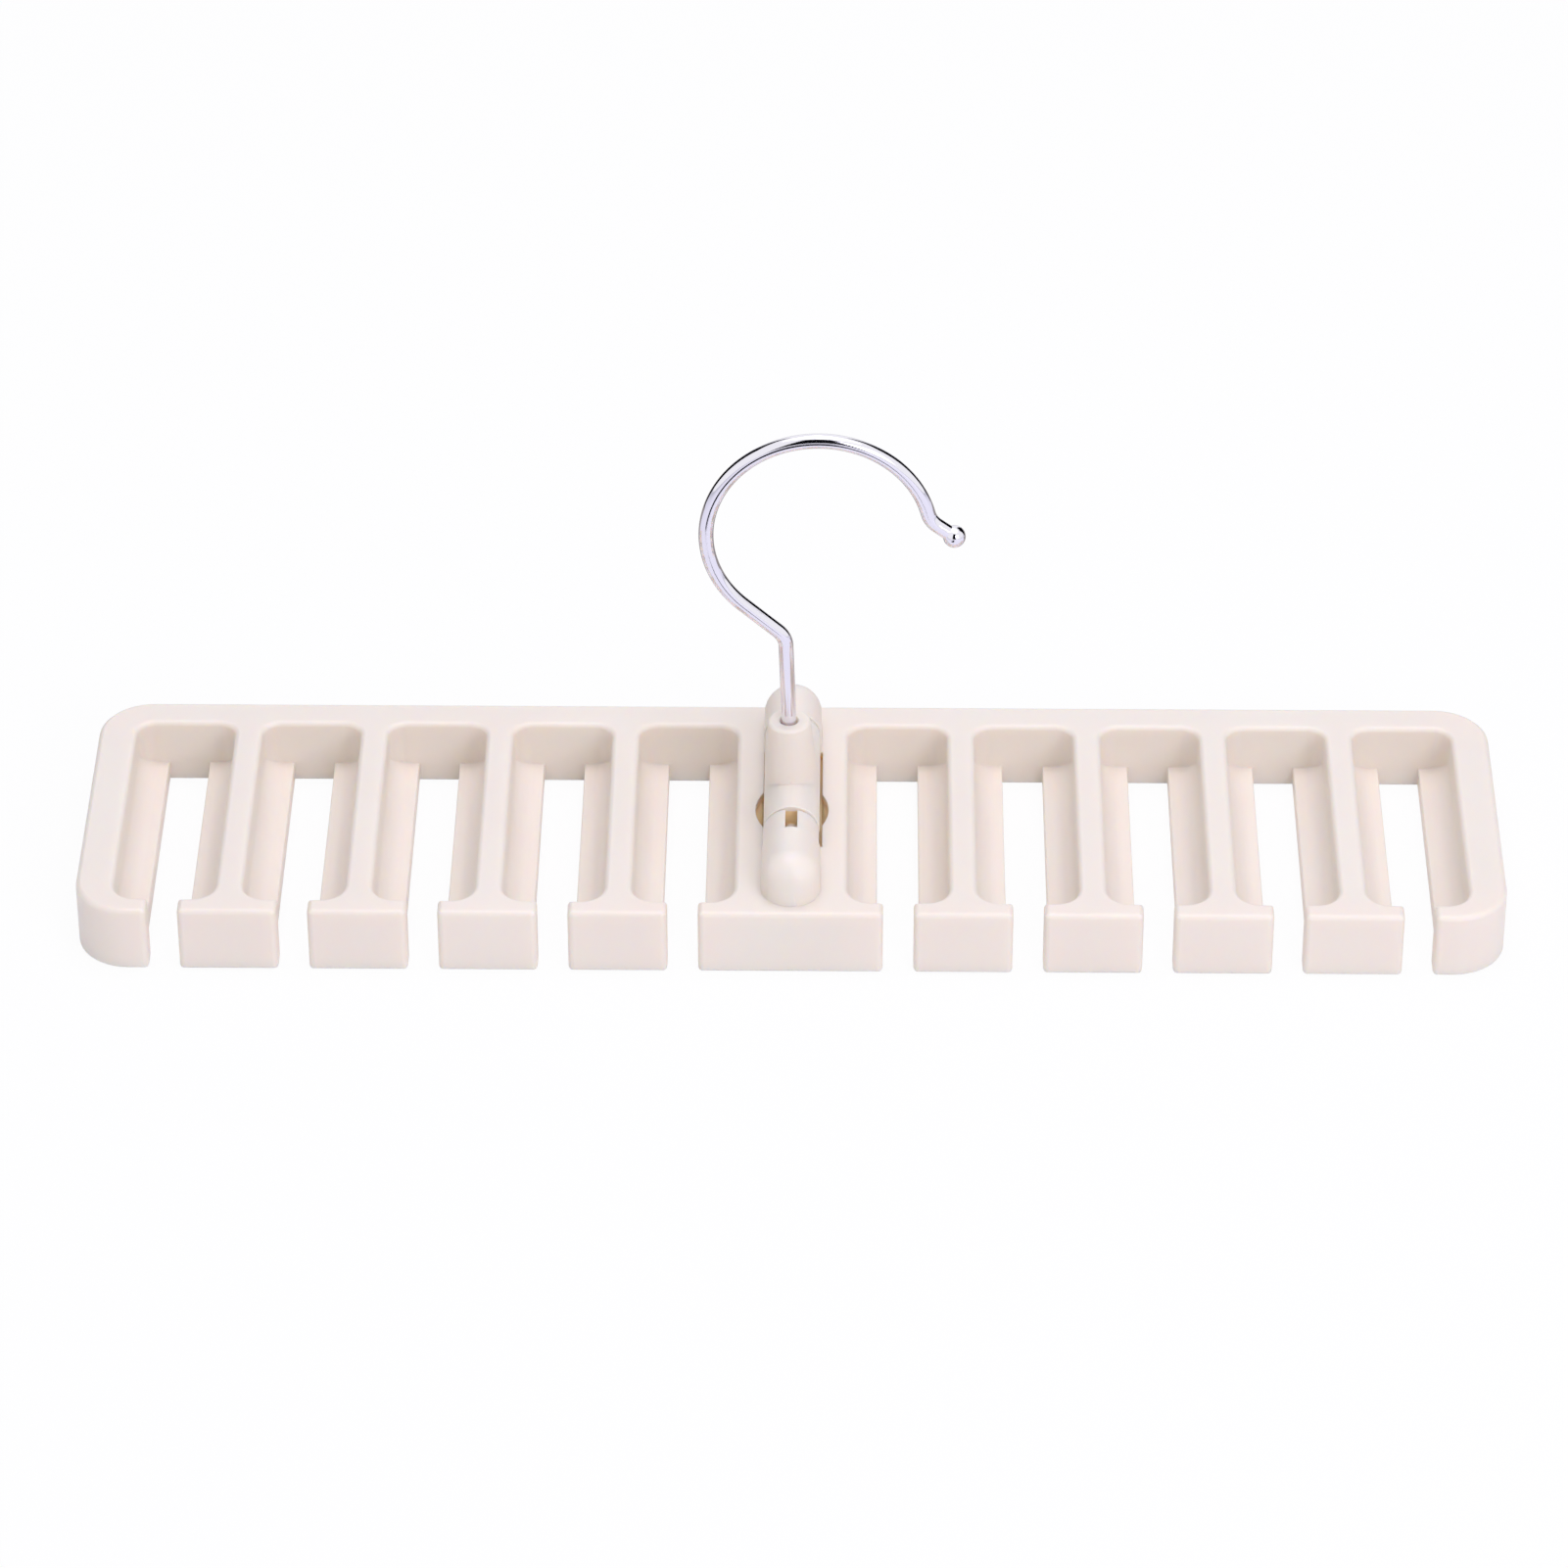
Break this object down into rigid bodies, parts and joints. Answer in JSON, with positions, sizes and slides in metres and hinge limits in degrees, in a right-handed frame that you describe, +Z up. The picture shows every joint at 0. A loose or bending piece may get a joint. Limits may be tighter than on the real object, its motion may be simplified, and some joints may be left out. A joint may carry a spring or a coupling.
{
  "type": "tie hanger",
  "caption": "Comb-shaped plastic tie rack with open slots along both sides of a raised hinge, hung from a swivelling chrome wire hook on a tilting neck.",
  "frame": {"origin": "the middle of the rack's underside, under the crossing of the neck and the tilt axis", "axes": "+X along the rack's length to the right as seen from its open side, +Y from the open front to the closed back, +Z up towards the hook"},
  "size_m": [0.34, 0.086, 0.1238],
  "materials": {
    "ivory_plastic": "satin moulded",
    "chrome_wire": "polished plating",
    "spring_steel": "plain"
  },
  "bodies": {
    "rack": {"rack": "ivory_plastic"},
    "neck": {"tilting_neck": "ivory_plastic"},
    "hook": {"hook_wire": "chrome_wire", "hook_tip_ball": "chrome_wire", "swivel_washer": "spring_steel", "push_on_ring": "spring_steel"}
  },
  "joints": [
    {"name": "neck_tilt", "type": "hinge", "parent": "rack", "child": "neck", "pos_m": [0, 0, 0.0218], "axis": [0, 1, 0], "range_deg": [-58.1, 61.9]},
    {"name": "hook_swivel", "type": "hinge", "parent": "neck", "child": "hook", "pos_m": [0, 0, 0.0218], "axis": [-0.0332, 0, 0.9995], "continuous": true}
  ]
}
